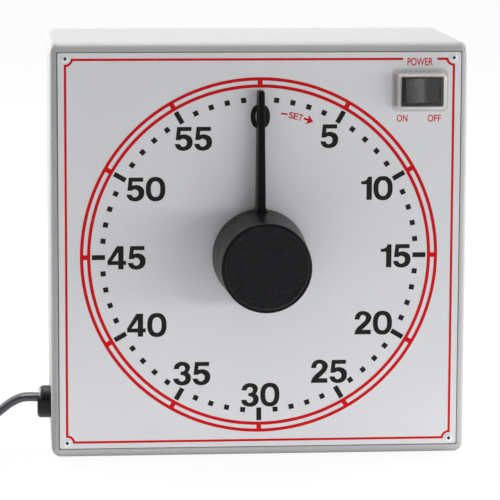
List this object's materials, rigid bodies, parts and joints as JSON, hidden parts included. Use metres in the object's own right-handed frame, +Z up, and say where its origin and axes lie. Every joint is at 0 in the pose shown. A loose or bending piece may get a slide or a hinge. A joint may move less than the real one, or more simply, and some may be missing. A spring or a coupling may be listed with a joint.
{
  "type": "electric timer",
  "caption": "Square mains-powered 60-minute interval timer with a large pointer knob, a booted rocker switch, a geared movement with a buzzer, and a flat mains cord with its plug.",
  "frame": {"origin": "bottom centre of the timer without its cord, on the surface that the feet rest on", "axes": "+Z up, +X to the right of the dial, -Y out of the dial towards the user"},
  "size_m": [0.3314, 0.1608, 0.1955],
  "materials": {
    "case_plastic": "satin",
    "panel_paint": "satin",
    "knob_plastic": "satin",
    "switch_plastic": "matte",
    "rocker_plastic": "satin",
    "boot_silicone": "clear",
    "screw_nickel": "polished",
    "foot_rubber": "matte",
    "brass_turned": "machined",
    "brass_wheel": "machined",
    "brass_blade": "satin",
    "steel_black": "satin",
    "steel_ground": "ground",
    "steel_zinc": "satin",
    "spring_steel": "satin",
    "motor_can": "satin",
    "nylon_natural": "satin",
    "plunger_red": "satin",
    "copper_wire": "satin",
    "lead_black": "satin",
    "lead_blue": "satin",
    "lead_red": "satin",
    "relief_nylon": "satin",
    "cord_vinyl": "satin",
    "tie_fabric": "woven"
  },
  "bodies": {
    "case": {"housing": "case_plastic", "front_panel": "panel_paint", "panel_screws": "screw_nickel", "rear_cover": "case_plastic", "rear_cover_screws": "screw_nickel", "rubber_feet": "foot_rubber", "shaft_bushing": "brass_turned", "bushing_nut": "screw_nickel", "panel_studs": "steel_zinc", "stud_nuts": "steel_zinc", "movement_front_plate": "steel_zinc", "movement_rear_plate": "steel_zinc", "movement_pillars": "brass_turned", "movement_screws": "screw_nickel", "stop_post": "steel_ground", "intermediate_pin": "steel_ground", "motor_case": "motor_can", "motor_screws": "screw_nickel", "microswitch": "switch_plastic", "microswitch_screws": "screw_nickel", "switch_body": "switch_plastic", "splash_boot": "boot_silicone", "switch_terminals": "brass_turned", "buzzer_frame": "steel_zinc", "buzzer_core": "steel_ground", "buzzer_bobbin": "nylon_natural", "buzzer_winding": "copper_wire", "buzzer_screws": "screw_nickel", "terminal_block": "nylon_natural", "terminal_screws": "screw_nickel", "mains_leads": "lead_black", "motor_leads": "lead_blue", "switch_leads": "lead_black", "alarm_leads": "lead_red", "strain_relief_body": "relief_nylon", "strain_relief_wedge": "relief_nylon", "power_cord": "cord_vinyl", "cord_coil": "cord_vinyl", "cord_tail": "cord_vinyl", "cord_tie": "tie_fabric", "plug_body": "cord_vinyl", "plug_blades": "brass_blade"},
    "knob_and_shaft": {"knob": "knob_plastic", "knob_insert": "brass_turned", "knob_set_screw": "steel_black", "dial_shaft": "steel_ground", "clutch_spring": "spring_steel", "clutch_collar": "brass_turned", "stop_arm": "spring_steel", "shaft_retaining_ring": "steel_black", "switch_cam": "nylon_natural"},
    "dial_wheel": {"dial_wheel": "brass_wheel"},
    "intermediate_wheel": {"intermediate_wheel": "brass_wheel"},
    "motor_rotor": {"motor_pinion": "brass_turned"},
    "rocker": {"rocker": "rocker_plastic"},
    "switch_lever": {"microswitch_lever": "spring_steel"},
    "switch_plunger": {"microswitch_plunger": "plunger_red"},
    "armature": {"buzzer_armature": "spring_steel"}
  },
  "joints": [
    {"name": "knob_turn", "type": "hinge", "parent": "case", "child": "knob_and_shaft", "pos_m": [0, 0, 0.0964], "axis": [0, 1, 0], "range_deg": [0, 354]},
    {"name": "dial_wheel_turn", "type": "hinge", "parent": "case", "child": "dial_wheel", "pos_m": [0, 0, 0.0964], "axis": [0, 1, 0], "range_deg": [-1, 355]},
    {"name": "intermediate_turn", "type": "hinge", "parent": "case", "child": "intermediate_wheel", "pos_m": [0, 0, 0.0544], "axis": [0, 1, 0], "range_deg": [-2130, 6]},
    {"name": "motor_turn", "type": "hinge", "parent": "case", "child": "motor_rotor", "pos_m": [-0.0288, 0, 0.0544], "axis": [0, 1, 0], "range_deg": [-30, 10650]},
    {"name": "rocker_tilt", "type": "hinge", "parent": "case", "child": "rocker", "pos_m": [0.0742, -0.02905, 0.1733], "axis": [0, 0, 1], "range_deg": [-18, 0]},
    {"name": "lever_tilt", "type": "hinge", "parent": "case", "child": "switch_lever", "pos_m": [-0.008, 0.00245, 0.1118], "axis": [0, 1, 0], "range_deg": [0, 8], "stiffness_Nm_per_rad": 0.0006},
    {"name": "plunger_travel", "type": "slide", "parent": "case", "child": "switch_plunger", "axis": [0, 0, -1], "range_m": [0, 0.0008]},
    {"name": "armature_tilt", "type": "hinge", "parent": "case", "child": "armature", "pos_m": [0.037, 0.01705, 0.0544], "axis": [0, 0, 1], "range_deg": [-1.5, 1.5], "stiffness_Nm_per_rad": 0.02}
  ],
  "couplings": [
    {"joint": "dial_wheel_turn", "follows": "knob_turn", "ratio": 1},
    {"joint": "intermediate_turn", "follows": "knob_turn", "ratio": -6},
    {"joint": "motor_turn", "follows": "knob_turn", "ratio": 30},
    {"joint": "plunger_travel", "follows": "lever_tilt", "m_per_rad": 0.005}
  ]
}
